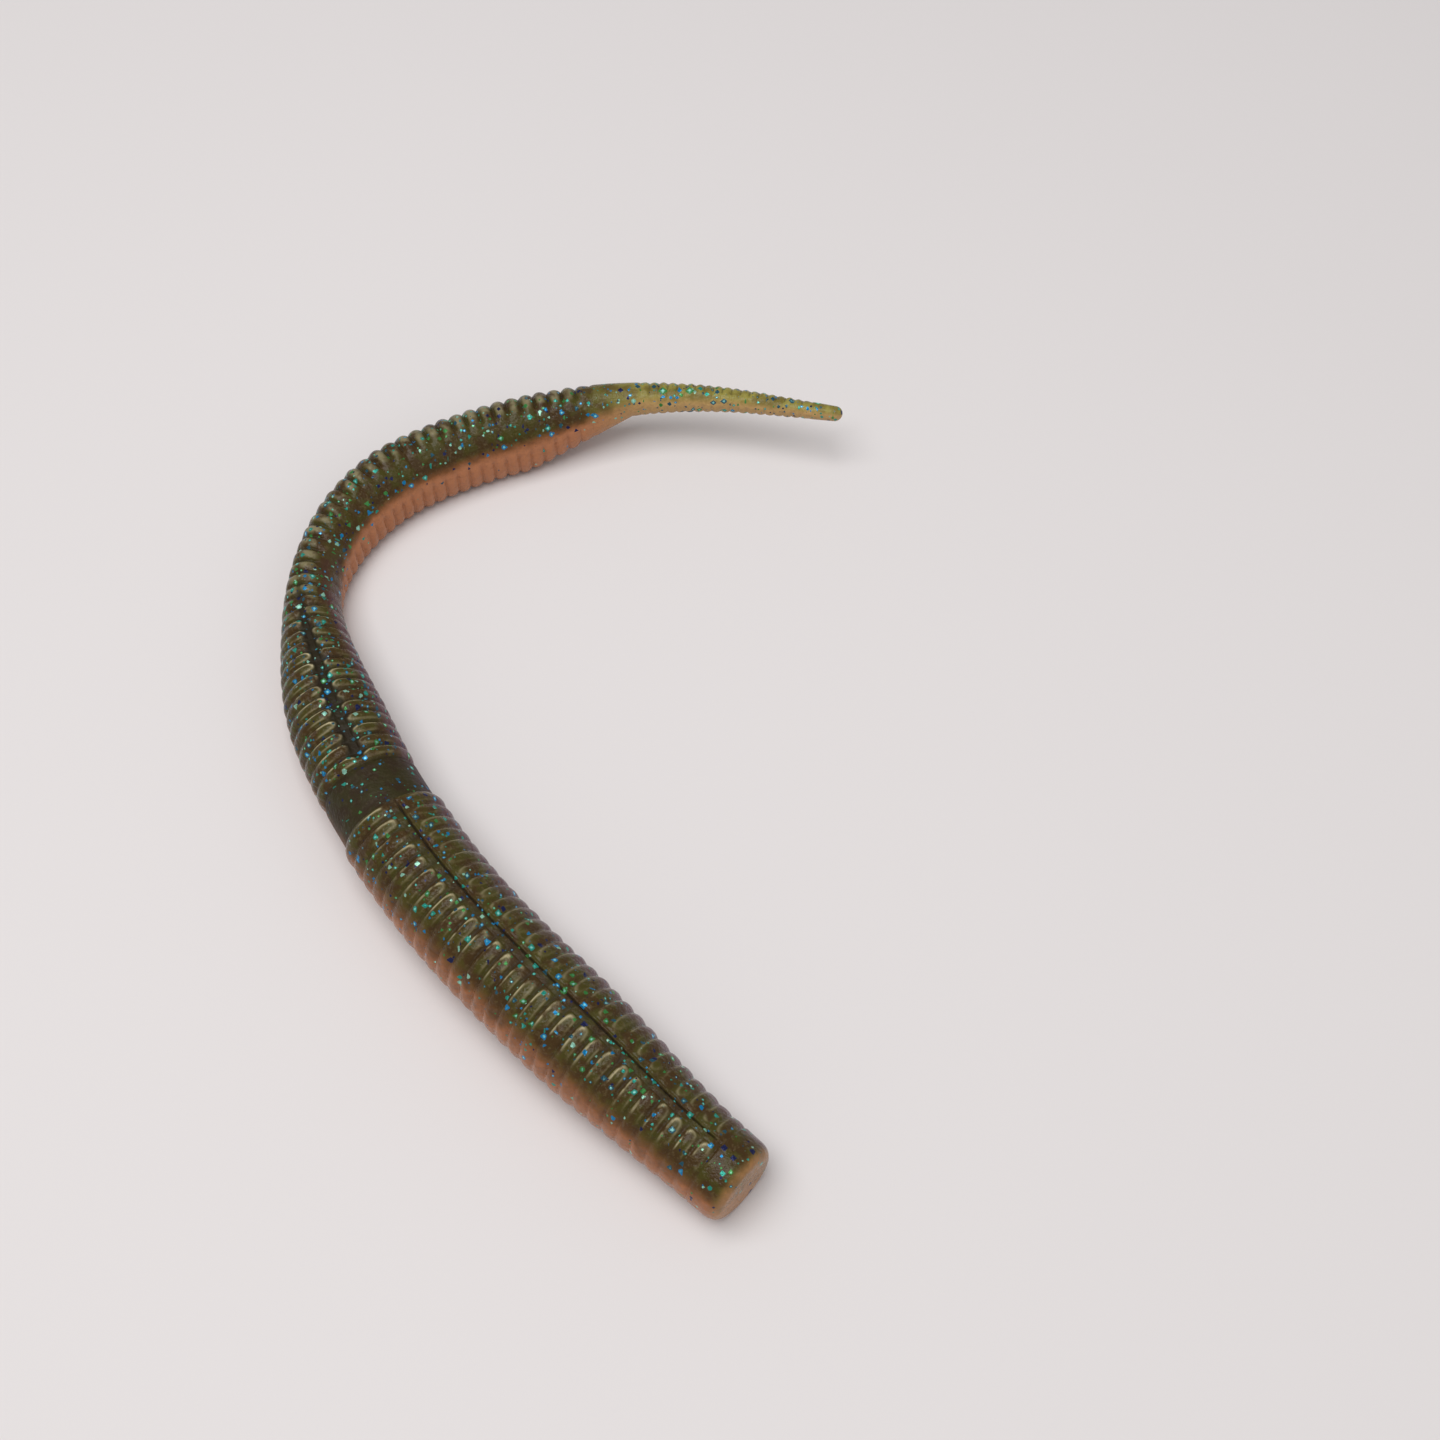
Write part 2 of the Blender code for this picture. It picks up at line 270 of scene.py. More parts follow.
class Centreline:
    """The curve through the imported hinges, with the axes of the section at any distance."""

    def __init__(self, form: WormForm, hinge_at: float, hinge_place: Vector) -> None:
        """Sums the headings and lays the curve on a known hinge.

        Args:
            form: The worm's sizes.
            hinge_at: Distance of a hinge along the worm.
            hinge_place: That hinge's packed place.
        """
        self.form = form
        self.at = np.linspace(0.0, form.length, math.ceil(form.length / form.path_step) + 1)
        angles = form.heading((self.at[1:] + self.at[:-1]) / 2.0)
        moves = np.diff(self.at)[:, None] * np.stack([np.cos(angles), np.sin(angles)], axis=1)
        self.points = np.vstack([np.zeros((1, 2)), np.cumsum(moves, axis=0)])
        there = np.array([np.interp(hinge_at, self.at, self.points[:, axis]) for axis in (0, 1)])
        self.points += np.array(hinge_place)[:2] - there

    def axes(self, at: Array) -> tuple[Array, Array, Array]:
        """Unit vectors of the leaning section.

        Args:
            at: Distances along the worm.

        Returns:
            Right, up and tailward, each with one row for each distance.
        """
        angle = self.form.heading(at)
        lean = self.form.lean(at)
        zero = np.zeros_like(angle)
        left = np.stack([-np.sin(angle), np.cos(angle), zero], axis=-1)
        level = np.stack([zero, zero, zero + 1.0], axis=-1)
        up = level * np.cos(lean)[..., None] + left * np.sin(lean)[..., None]
        tailward = np.stack([np.cos(angle), np.sin(angle), zero], axis=-1)
        return np.cross(tailward, up), up, tailward

    def centre(self, at: Array) -> Array:
        """Middle of the section at each distance."""
        flat = [np.interp(at, self.at, self.points[:, axis]) for axis in (0, 1)]
        base = np.stack([flat[0], flat[1], self.form.rest_height(at)], axis=-1)
        return base + self.axes(at)[1] * self.form.rise(at)[..., None]


@dataclass(frozen=True)
class Relief:
    """Ribs, hook slot and saddle that are pressed into the outline."""

    form: WormForm
    head_pitch: float = 0.00166
    body_pitch: float = 0.00152
    tail_pitch: float = 0.00098
    head_depth: float = 0.00040
    body_depth: float = 0.00046
    tail_depth: float = 0.00024
    roundness: float = 0.80
    nose_share: float = 0.60
    nose_full_l: float = 0.0110
    run_out: float = 2.5
    faint: float = 0.30
    saddle_faint: float = 0.15
    # The rim and bead values place painted highlights: pale lines round the rib ends and on the rear bead
    # tops.
    rim_height: float = 0.70
    rim_breadth: float = 0.10
    rim_front: float = 0.30
    rim_right: float = 0.45
    rim_mid: float = 1.5
    rim_mid_right: float = 0.85
    rim_lead: float = 1.0
    rim_reach: float = 5.0
    rim_fade: Window = (34.0, 56.0)
    bead_angle: float = 44.0
    bead_low: float = 0.55
    bead_highlight: float = 0.38
    head_fade: float = 0.25
    flank_fade: float = 0.82
    tail_fade: float = 0.75
    smooth_part: tuple[float, ...] = (-28.0, -7.0, 42.0, 66.0)
    right_soft: float = 0.40
    right_row: Window = (28.0, 50.0)
    belly_share: float = 0.60
    rear_belly_share: float = 0.78
    slot_start: float = 0.0046
    slit_depth: float = 0.00026
    slit_angle: float = 1.3
    slit_power: float = 0.7
    channel: float = 10.0
    channel_right: float = 4.5
    slot_shoulder: float = 28.0
    saddle_depth: float = 0.00026
    saddle_angle: float = 14.0
    saddle_channel: float = 4.5
    saddle_shoulder: float = 25.0
    ridge_shift: float = 8.5
    ridge_fade: Window = (0.0780, 0.0920)
    saddle_fade_l: float = 0.0300
    wander: float = 0.10
    wander_waves: Triple = (2900.0, 1130.0, 2.0)

    def runs(self) -> list[RibRun]:
        """The rib runs of head, body and tail."""
        form = self.form
        return [
            RibRun(form.nose_ring_l, form.head_l, self.head_pitch, self.head_depth),
            RibRun(form.band_end, form.root_at, self.body_pitch, self.body_depth),
            RibRun(form.cone_end, form.length - form.tip_l, self.tail_pitch, self.tail_depth),
        ]

    def ridge(self, at: Array) -> Array:
        """Angle of the line between the two rib rows, which lies a little to the left behind the band."""
        shift = hump(at, self.form.head_l, self.form.band_end, *self.ridge_fade)
        return TOP_ANGLE + self.ridge_shift * shift

    def slot(self, at: Array) -> Array:
        """Share of the hook slot, which begins behind the nose ring."""
        return ease(at, self.slot_start - self.form.nose_ring_l / 2.0, self.slot_start)

    @staticmethod
    def thumb(off_top: Array, tip: Array | float, full: float) -> Array:
        """Round end of a rib: 0 at its tip, 1 where it is full."""
        share = np.clip((off_top - tip) / (full - tip), 0.0, 1.0)
        return np.sqrt(1.0 - (1.0 - share) ** 2)

    def row_ends(self, at: Array, away: Array) -> Array:
        """How full a rib is beside the slot: its end is rounded like a thumb.

        Args:
            at: Distances along the worm.
            away: Degrees from the line between the rib rows, positive on the left.

        Returns:
            The faint share in the slot, 1 on the full rib.
        """
        off_top = np.abs(away)
        inner = np.where(away > 0.0, self.channel, self.channel_right)
        head = 1.0 - self.slot(at) * (1.0 - self.thumb(off_top, inner, self.slot_shoulder))
        body = self.thumb(off_top, self.saddle_channel, self.saddle_shoulder)
        body = 1.0 - self.saddle(at) * (1.0 - body)
        least = np.where(at < self.form.head_l, self.faint, self.saddle_faint)
        return between(least, 1.0, np.where(at < self.form.head_l, head, body))

    def painted_highlights(self, run: RibRun, at: Array, away: Array, height: Array) -> Array:
        """Painted highlights: pale lines round the rib ends beside the slot and pale bead tops on the rear
        back.

        Args:
            run: The ribs in question.
            at: Distances along the worm.
            away: Degrees from the line between the rib rows, positive on the left.
            height: Rib height share.

        Returns:
            Strength of the painted highlight.
        """
        form = self.form
        left, off_top = away > 0.0, np.abs(away)
        line = np.exp(-(((height - self.rim_height) / self.rim_breadth) ** 2))
        # The painted highlight is strongest on the tailward slopes and on the left row, which face the
        # light.
        line = line * between(self.rim_front, 1.0, run.tail_side(at))
        head = np.where(left, 1.0, self.rim_right)
        middle = np.where(left, self.rim_mid, self.rim_mid_right)
        line = line * np.where(at < form.band_end, head, middle)
        inner = np.where(left & (at < form.head_l), self.channel, self.channel_right)
        near = hump(off_top, inner - self.rim_lead, inner + self.rim_reach, *self.rim_fade)
        bead = ease(height, self.bead_low, 1.0)
        bead = bead * (1.0 - ease(off_top, self.bead_angle / 2.0, self.bead_angle))
        rear = ease(at, form.band_end + self.saddle_fade_l / 2.0, form.band_end + self.saddle_fade_l)
        tone = line * near * (1.0 - rear) + self.bead_highlight * bead * rear
        return tone * (1.0 - ease(at, form.root_at - form.stern_l / 2.0, form.root_at))

    def fullness(self, at: Array) -> Array:
        """Rib depth share, which runs out where the body turns into the tail and at the tip."""
        form = self.form
        out = self.run_out * self.body_pitch
        body = 1.0 - ease(at, form.root_at - out, form.root_at)
        body = body * between(self.nose_share, 1.0, ease(at, form.nose_ring_l, self.nose_full_l))
        soft = self.run_out * self.tail_pitch
        tip = form.length - form.tip_l
        tail = hump(at, form.cone_end, form.cone_end + soft, tip - soft, tip)
        return np.where(at < form.cone_end, body, tail)

    def smoothness(self, at: Array, angle: Array) -> Array:
        """How far the ribs are lost on the flanks, which is most where the section is flat.

        Args:
            at: Distances along the worm.
            angle: Degrees round the section.

        Returns:
            0 where the ribs are full, 1 where the skin is smooth.
        """
        form = self.form
        height = height_angle(angle)
        flank = hump(height, *self.smooth_part)
        flat = (1.0 - form.half_width(at) / form.half_height(at)) / (1.0 - form.rear_w / form.rear_h)
        flat = np.clip(flat, 0.0, 1.0)
        most = between(self.head_fade, self.flank_fade, flat)
        belly = between(self.belly_share, self.rear_belly_share, flat)
        lost = flank * np.where(at > form.cone_end, self.tail_fade, most)
        row = ease(height, *self.right_row) * (np.cos(np.radians(angle)) > 0.0)
        lost = np.maximum(lost, self.right_soft * row * (at < form.head_l))
        return np.where(height < 0.0, np.maximum(lost, 1.0 - belly), lost)

    def saddle(self, at: Array) -> Array:
        """Share of the saddle behind the band, which fades out in the bend."""
        fade_end = self.form.band_end + self.saddle_fade_l
        fade = fade_end - self.saddle_fade_l / 2.0
        return hump(at, self.form.band_end, self.form.band_end + self.body_pitch, fade, fade_end)

    def slit(self, at: Array, off_top: Array) -> Array:
        """Depth of the hook slot and the saddle under the valley floor.

        Args:
            at: Distances along the worm.
            off_top: Degrees from the line between the rib rows.

        Returns:
            Depth in metres.
        """
        run = self.slot(at) * (1.0 - ease(at, self.form.head_l - self.head_pitch, self.form.head_l))
        notch = np.clip(1.0 - off_top / self.slit_angle, 0.0, 1.0) ** self.slit_power
        bowl = np.clip(1.0 - (off_top / self.saddle_angle) ** 2, 0.0, 1.0)
        return run * self.slit_depth * notch + self.saddle(at) * self.saddle_depth * bowl


@dataclass
class Skin:
    """The whole ribbed surface as one grid of rings and columns, from which each piece is cut."""

    form: WormForm
    relief: Relief
    line: Centreline
    rows_per_rib: int = 14
    seam_dip: float = 6.0
    rim_share: float = 0.42
    rim_steps: int = 12
    face_steps: int = 5
    tip_steps: int = 9
    back_steps: tuple[Window, ...] = ((124.0, 3.1), (101.0, 1.6), (79.0, 0.55), (56.0, 1.6))
    flank_step: float = 3.1
    belly_step: float = 4.0
    band_hollow: float = 1.1
    most_hollow: float = 1.6
    at: Array = field(init=False)
    scale: Array = field(init=False)
    angle: Array = field(init=False)
    place: Array = field(init=False)
    normal: Array = field(init=False)
    depth: Array = field(init=False)
    rim: Array = field(init=False)

    def __post_init__(self) -> None:
        """Works out rows, columns and the surface over them."""
        self.at, self.scale = self.rows()
        self.angle = self.columns()
        self.place, self.depth, self.rim = self.surface()
        self.normal = self.normals()

    def rows(self) -> tuple[Array, Array]:
        """Distances of the rings with the share of full size that each ring has.

        Returns:
            Distances and shares. The shares fall to 0 at the two poles.
        """
        form = self.form
        rim = form.nose_ring_l * self.rim_share
        face = form.nose_face_d / form.nose_d
        turns = np.linspace(0.0, math.pi / 2.0, self.rim_steps + 1)
        rows = [(0.0, face * step / self.face_steps) for step in range(self.face_steps)]
        rows += [(rim * (1.0 - math.cos(t)), face + (1.0 - face) * math.sin(t)) for t in turns]
        runs = self.relief.runs()
        stops = [rim] + [stop for run in runs for stop in (run.start, run.end)]
        smooth = list(zip(stops[0::2], stops[1::2]))
        for (start, end), run in zip(smooth, runs):
            steps = self.rows_per_rib * max(1, round((end - start) / run.pitch))
            rows += [(at, 1.0) for at in np.linspace(start, end, steps + 1)[1:]]
            steps = self.rows_per_rib * run.count
            rows += [(at, 1.0) for at in np.linspace(run.start, run.end, steps + 1)[1:]]
        ball = form.tail_end_d / 2.0
        flat = form.length - ball
        rows += [(at, 1.0) for at in np.linspace(runs[-1].end, flat, self.rows_per_rib + 1)[1:]]
        turns = np.linspace(0.0, math.pi / 2.0, self.tip_steps + 1)[1:]
        rows += [(flat + ball * math.sin(t), math.cos(t)) for t in turns]
        table = np.array(rows)
        return table[:, 0], np.where(table[:, 1] < NO_SIZE, 0.0, table[:, 1])

    def columns(self) -> Array:
        """Angles round the section in degrees, from the left seam over the top and round the belly."""
        dip = self.seam_dip
        sides = ((-dip, self.flank_step), (dip - LEFT_ANGLE, self.belly_step))
        angles = [LEFT_ANGLE + dip]
        for end, step in self.back_steps + sides:
            count = max(1, round((angles[-1] - end) / step))
            angles += list(np.linspace(angles[-1], end, count + 1)[1:])
        return np.array(angles)

    def surface(self) -> tuple[Array, Array, Array]:
        """Places of all grid points, how deep each lies under the rib crests, and the painted highlight
        lines on the ribs.

        Returns:
            Places in metres, depths as a share of the rib depth and slot, which the material darkens as
            painted shade, and strength of the painted highlight lines.
        """
        form, relief = self.form, self.relief
        at = self.at[:, None]
        angle = np.radians(self.angle)[None, :]
        width, height = form.half_width(at), form.half_height(at)
        away = self.angle[None, :] - relief.ridge(at)
        off_top = np.abs(away)
        fade = relief.smoothness(at, self.angle[None, :])
        full = relief.row_ends(at, away)
        down = np.zeros(np.broadcast(at, angle).shape)
        hollow = np.zeros_like(down)
        rim = np.zeros_like(down)
        strength = (1.0 - fade) * relief.fullness(at)
        quick, slow, twist = relief.wander_waves
        runs = relief.runs()
        for index, run in enumerate(runs):
            swing = relief.wander * np.sin(at * quick + index)
            tone = 1.0 + swing * np.sin(at * slow + twist * angle)
            crest = run.crest(at, relief.roundness) * (1.0 if run is runs[-1] else full) * tone
            missing = np.where(run.holds(at), 1.0 - crest, 0.0)
            down += run.depth * missing * strength
            # The hollow share is darkened in the material: painted shade in the rib valleys.
            hollow = np.maximum(hollow, np.clip(missing, 0.0, 1.0) * strength)
            # Painted highlight lines on the rib ends and bead tops, kept off the smooth flanks.
            shown = relief.painted_highlights(run, at, away, crest)
            rim += np.where(run.holds(at), shown * (1.0 - fade), 0.0)
        band = (at > form.head_l) & (at < form.band_end)
        edge = relief.head_pitch / 2.0
        sink = hump(at, form.head_l, form.head_l + edge, form.band_end - edge, form.band_end)
        groove = relief.head_depth * (1.0 - sink)
        down += np.where(band, (width - form.band_d / 2.0) * sink + groove, 0.0)
        # The sunk band counts as hollow and the slot adds to the hollow share, so both get the painted
        # shade too.
        hollow = np.where(band, self.band_hollow, hollow)
        slit = relief.slit(at, off_top)
        hollow = np.clip(hollow + slit / relief.slit_depth, 0.0, self.most_hollow)
        across = (width - down) * np.cos(angle)
        above = (height - down - slit) * np.sin(angle)
        right, up, _ = self.line.axes(self.at)
        scale = self.scale[:, None, None]
        offset = right[:, None, :] * across[..., None] + up[:, None, :] * above[..., None]
        place = self.line.centre(self.at)[:, None, :] + offset * scale
        place[..., 2] = np.maximum(place[..., 2], 0.0)
        return place, hollow, rim

    def normals(self) -> Array:
        """Outward unit normals of the whole grid, so that cut pieces shade as one skin."""
        along = np.gradient(self.place, axis=0)
        closed = np.concatenate([self.place[:, -2:-1], self.place, self.place[:, 1:2]], axis=1)
        around = closed[:, 2:] - closed[:, :-2]
        found = np.cross(around, along)
        _, _, tailward = self.line.axes(self.at)
        size = np.linalg.norm(found, axis=-1, keepdims=True)
        found = found / np.maximum(size, NO_LENGTH)
        nose = np.arange(len(self.at)) <= self.face_steps - 1
        found[nose] = -tailward[nose][:, None, :]
        found[-1] = tailward[-1]
        return found

    def row_near(self, at: float) -> int:
        """Index of the ring in the rib valley that is nearest to a distance."""
        valleys = np.concatenate([run.valleys() for run in self.relief.runs()])
        nearest = valleys[np.argmin(np.abs(valleys - at))]
        return int(np.argmin(np.abs(self.at - nearest)))

    def column_span(self, half: Half) -> tuple[int, int]:
        """First and last column of one pour."""
        seam = int(np.argmin(np.abs(self.angle + self.seam_dip)))
        last = len(self.angle) - 1
        return {Half.BACK: (0, seam), Half.BELLY: (seam, last), Half.WHOLE: (0, last)}[half]


@dataclass(frozen=True)
class Toning:
    """Where the pours run into each other, as angles and distances on the skin."""

    left_seam: float = 24.0
    left_mid_seam: float = -8.0
    right_seam: float = -14.0
    rear_seam: float = 0.0
    head_blur: float = 50.0
    rear_blur: float = 32.0
    front_share: float = 0.72
    tail_blur: float = 105.0
    mid_run: Window = (0.034, 0.060)
    change_run: Window = (0.068, 0.088)
    amber_run: Window = (0.1180, 0.1290)
    # The nose glow values paint a glow into the nose rim, as if light shone through it.
    nose_glow_l: float = 0.0012
    nose_glow: float = 0.52
    nose_amber: float = 0.75
    # Where the painted purple reflection lies on the right flank.
    plum_reflection_part: Window = (32.0, 60.0)
    plum_reflection_fade: Window = (0.068, 0.090)
    head_flakes: float = 0.44
    crest_flakes: float = 0.70
    crest_part: Window = (14.0, 60.0)
    tail_flakes: float = 0.20
    tail_clear: float = 0.8
    belly_flakes: float = 0.07
    band_run: tuple[float, ...] = (0.048, 0.050, 0.0546, 0.0566)
    band_flakes: float = 0.45

    def belly(self, at: Array, angle: Array) -> Array:
        """Share of terracotta: 0 on the back, 1 on the belly.

        Args:
            at: Distances along the worm.
            angle: Degrees round the section, 0 right, 90 top, 180 left.

        Returns:
            The share at each point.
        """
        change = ease(at, *self.change_run)
        left = between(self.left_seam, self.left_mid_seam, ease(at, *self.mid_run))
        front = np.where(np.cos(np.radians(angle)) < 0.0, left, self.right_seam)
        seam = between(front, self.rear_seam, change)
        blur = between(self.head_blur, self.rear_blur, change)
        blur = blur + (self.tail_blur - self.rear_blur) * ease(at, *self.amber_run)
        share = np.clip((seam - height_angle(angle)) / blur + 0.5, 0.0, 1.0)
        share = share * between(self.front_share, 1.0, change)
        # Painted glow at the nose rim.
        nose = self.nose_glow * (1.0 - ease(at, 0.0, self.nose_glow_l))
        return np.maximum(ease(share, 0.0, 1.0), nose)

    def plum_reflection(self, at: Array, angle: Array) -> Array:
        """Share of the painted purple-brown reflection low on the right flank of head and middle."""
        low = (np.cos(np.radians(angle)) > 0.0) * (1.0 - ease(height_angle(angle), *self.plum_reflection_part))
        return low * (1.0 - ease(at, *self.plum_reflection_fade))

    def flakes(self, at: Array, angle: Array) -> Array:
        """How much of the glitter shows: most on the rear back, least in the belly."""
        crest = 1.0 - ease(np.abs(angle - TOP_ANGLE), *self.crest_part)
        head = self.head_flakes * (1.0 + self.crest_flakes * crest)
        back = between(head, 1.0, ease(at, *self.mid_run))
        tail = ease(at, *self.amber_run)
        back = back * (1.0 + self.tail_flakes * tail)
        belly = self.belly(at, angle) * (1.0 - self.tail_clear * tail)
        near = hump(at, *self.band_run)
        return between(back, self.belly_flakes, belly) * (1.0 - (1.0 - self.band_flakes) * near)

    def amber(self, at: Array) -> Array:
        """Share of amber, which takes over towards the tail and is painted into the nose rim as a glow."""
        nose = self.nose_amber * self.nose_glow * (1.0 - ease(at, 0.0, self.nose_glow_l))
        return np.maximum(nose, ease(at, *self.amber_run))


@dataclass(frozen=True)
class FlakeSize:
    """Foil bits of one size: cells in a metre, share of a cell, share of cells with a bit."""

    scale: float
    size: float
    amount: float
    in_tail: bool = False


@dataclass(frozen=True)
class PlastisolFinish:
    """Soft glossy plastic with glitter in it.

    A noise is given by scale and detail, a part by where it begins, where it is full and how strong it is.
    """

    name: str
    brown: Triple = (0.052, 0.028, 0.008)
    olive: Triple = (0.056, 0.048, 0.008)
    tan: Triple = (0.190, 0.140, 0.060)
    mauve: Triple = (0.220, 0.086, 0.032)
    # Colour of the painted purple reflection.
    plum_reflection: Triple = (0.112, 0.042, 0.056)
    terracotta: Triple = (0.440, 0.176, 0.080)
    amber: Triple = (0.290, 0.250, 0.055)
    honey: Triple = (0.180, 0.140, 0.030)
    blush: Triple = (0.470, 0.290, 0.115)
    # groove is the dark of the painted shade in grooves, slot and band, and also tints the dark grain
    # specks; rim is the pale of the painted highlights.
    groove: Triple = (0.014, 0.010, 0.005)
    rim: Triple = (0.560, 0.480, 0.290)
    roughness: float = 0.22
    specular: float = 0.18
    cloud_noise: Window = (640.0, 4.0)
    grain_noise: Window = (2600.0, 3.0)
    patch_part: Triple = (0.40, 0.60, 1.0)
    tan_part: Triple = (0.52, 0.70, 0.30)
    plum_reflection_share: float = 0.95
    wobble: float = 2.0
    middle_part: Triple = (0.0, 0.6, 1.0)
    deep_part: Triple = (0.4, 1.0, 1.0)
    dark_part: Triple = (0.45, 0.8, 0.18)
    # How strong the painted shade in the grooves is, with less on the belly.
    groove_shade_part: Triple = (0.30, 1.5, 1.0)
    groove_share: float = 0.86
    belly_loss: float = 0.60
    # Where the cloud lets the painted highlight show.
    highlight_part: Triple = (0.36, 0.58, 0.85)
    flake_metal: float = 0.35
    dull_part: Triple = (0.5, 1.0, 0.30)
    bump_cloud: float = 2.5
    bump_depth: float = 0.00010
    flakes: tuple[FlakeSize, ...] = (
        FlakeSize(640.0, 0.44, 0.50, True), FlakeSize(2000.0, 0.50, 0.55), FlakeSize(1120.0, 0.54, 0.84),
    )


@dataclass(frozen=True)
class FloorFinish:
    """Plain pale ground."""

    colour: Triple = (0.730, 0.694, 0.687)
    roughness: float = 0.75
    specular: float = 0.2
    patch_noise: Window = (12.0, 2.0)
    patch_tone: float = 0.985


def rgba(colour: Triple) -> tuple[float, float, float, float]:
    """The colour with full alpha."""
    return (*colour, 1.0)


class NodeDesk:
    """Places and joins shader nodes in one tree."""

    def __init__(self, tree: NodeTree) -> None:
        """Keeps the tree that the nodes go into."""
        self.tree = tree

    def add(self, kind: str, settings: dict[str, Any] | None = None, **inputs: Any) -> Node:
        """Adds a node, sets it, and joins or fills its inputs.

        Args:
            kind: Type name of the node.
            settings: Properties of the node itself.
            inputs: Values or output sockets for inputs, by name with _ for a space, or in_N by index.

        Returns:
            The new node.
        """
        node = self.tree.nodes.new(kind)
        for key, value in (settings or {}).items():
            setattr(node, key, value)
        self.fill(node, **inputs)
        return node

    def fill(self, node: Node, **inputs: Any) -> None:
        """Joins or fills a node's inputs.

        Args:
            node: The node.
            inputs: As for add.
        """
        for key, value in inputs.items():
            number = key.removeprefix("in_")
            socket = node.inputs[key.replace("_", " ") if number == key else int(number)]
            if isinstance(value, NodeSocket):
                self.tree.links.new(value, socket)
            else:
                socket.default_value = value

    def math(self, operation: str, first: Any, second: Any = 0.0, clamp: bool = False) -> NodeSocket:
        """Output of a Math node over two values or sockets."""
        settings = {"operation": operation, "use_clamp": clamp}
        return self.add("ShaderNodeMath", settings, in_0=first, in_1=second).outputs[0]

    def times(self, first: Any, second: Any) -> NodeSocket:
        """Product of two values or sockets."""
        return self.math("MULTIPLY", first, second)

    def mix(self, share: Any, first: Any, second: Any) -> NodeSocket:
        """Colour output of a Mix node between two colours, each a socket or three values."""
        pair = [rgba(each) if isinstance(each, tuple) else each for each in (first, second)]
        settings = {"data_type": "RGBA"}
        return self.add("ShaderNodeMix", settings, in_0=share, in_6=pair[0], in_7=pair[1]).outputs[2]

    def part(self, value: Any, start: float, full: float, strength: float) -> NodeSocket:
        """Rises smoothly from 0 to the strength while a value goes from start to full."""
        smooth = {"interpolation_type": "SMOOTHSTEP"}
        node = self.add("ShaderNodeMapRange", smooth, in_0=value, in_1=start, in_2=full, in_4=strength)
        return node.outputs[0]

    def noise(self, place: Any, scale: float, detail: float) -> NodeSocket:
        """Output of a noise texture."""
        return self.add("ShaderNodeTexNoise", None, Vector=place, Scale=scale, Detail=detail).outputs[0]

    def attribute(self, name: str, output: str = "Fac") -> NodeSocket:
        """Output of one of the skin's own values."""
        return self.add("ShaderNodeAttribute", {"attribute_name": name}).outputs[output]


class GlitterGroup:
    """Foil bits of several colours scattered through the plastic, some with a painted glint at their core,
    built once as a node group.
    """

    palette: tuple[tuple[float, Triple], ...] = (
        (0.00, (0.014, 0.018, 0.070)),
        (0.13, (0.008, 0.190, 0.400)),
        (0.33, (0.020, 0.260, 0.200)),
        (0.56, (0.045, 0.200, 0.050)),
        (0.72, (0.022, 0.085, 0.120)),
        # The pale mint bits stand partly for painted glints.
        (0.90, (0.240, 0.480, 0.360)),
    )
    glint: Triple = (0.40, 0.90, 0.82)
    least_size: float = 0.55
    soft_edge: Triple = (0.0, 0.07, 1.0)
    bright_from: float = 0.56
    glint_part: Triple = (0.35, 0.85, 0.75)

    def __init__(self) -> None:
        """Builds the group with its sockets."""
        self.tree = bpy.data.node_groups.new("glitter_in_plastic", "ShaderNodeTree")
        face = self.tree.interface
        face.new_socket("Place", in_out="INPUT", socket_type="NodeSocketVector")
        for name in ("Scale", "Size", "Amount"):
            face.new_socket(name, in_out="INPUT", socket_type="NodeSocketFloat")
        face.new_socket("Colour", in_out="OUTPUT", socket_type="NodeSocketColor")
        face.new_socket("Mask", in_out="OUTPUT", socket_type="NodeSocketFloat")
        desk = NodeDesk(self.tree)
        given = desk.add("NodeGroupInput").outputs
        chips = {"distance": "MANHATTAN"}
        cells = desk.add("ShaderNodeTexVoronoi", chips, Vector=given["Place"], Scale=given["Scale"])
        pick = desk.add("ShaderNodeSeparateColor", None, Color=cells.outputs["Color"])
        wide = desk.times(pick.outputs[2], 1.0 - self.least_size)
        wide = desk.math("ADD", wide, self.least_size)
        reach = desk.times(given["Size"], wide)
        near = desk.math("SUBTRACT", reach, cells.outputs["Distance"])
        chosen = desk.math("LESS_THAN", pick.outputs[0], given["Amount"])
        mask = desk.times(desk.part(near, *self.soft_edge), chosen)
        ramp = desk.add("ShaderNodeValToRGB", None, Fac=pick.outputs[1])
        ramp.color_ramp.interpolation = "CONSTANT"
        while len(ramp.color_ramp.elements) < len(self.palette):
            ramp.color_ramp.elements.new(0.5)
        for element, (stop, colour) in zip(ramp.color_ramp.elements, self.palette):
            element.position = stop
            element.color = rgba(colour)
        # Painted glint: bright bits that are not navy get a near-white core, as if they caught the light.
        bright = desk.math("GREATER_THAN", pick.outputs[2], self.bright_from)
        pale = desk.math("GREATER_THAN", pick.outputs[1], self.palette[1][0])
        core = desk.part(desk.math("DIVIDE", near, reach), *self.glint_part)
        shine = desk.times(core, desk.times(bright, pale))
        colour = desk.mix(shine, ramp.outputs[0], self.glint)
        desk.add("NodeGroupOutput", None, Colour=colour, Mask=mask)


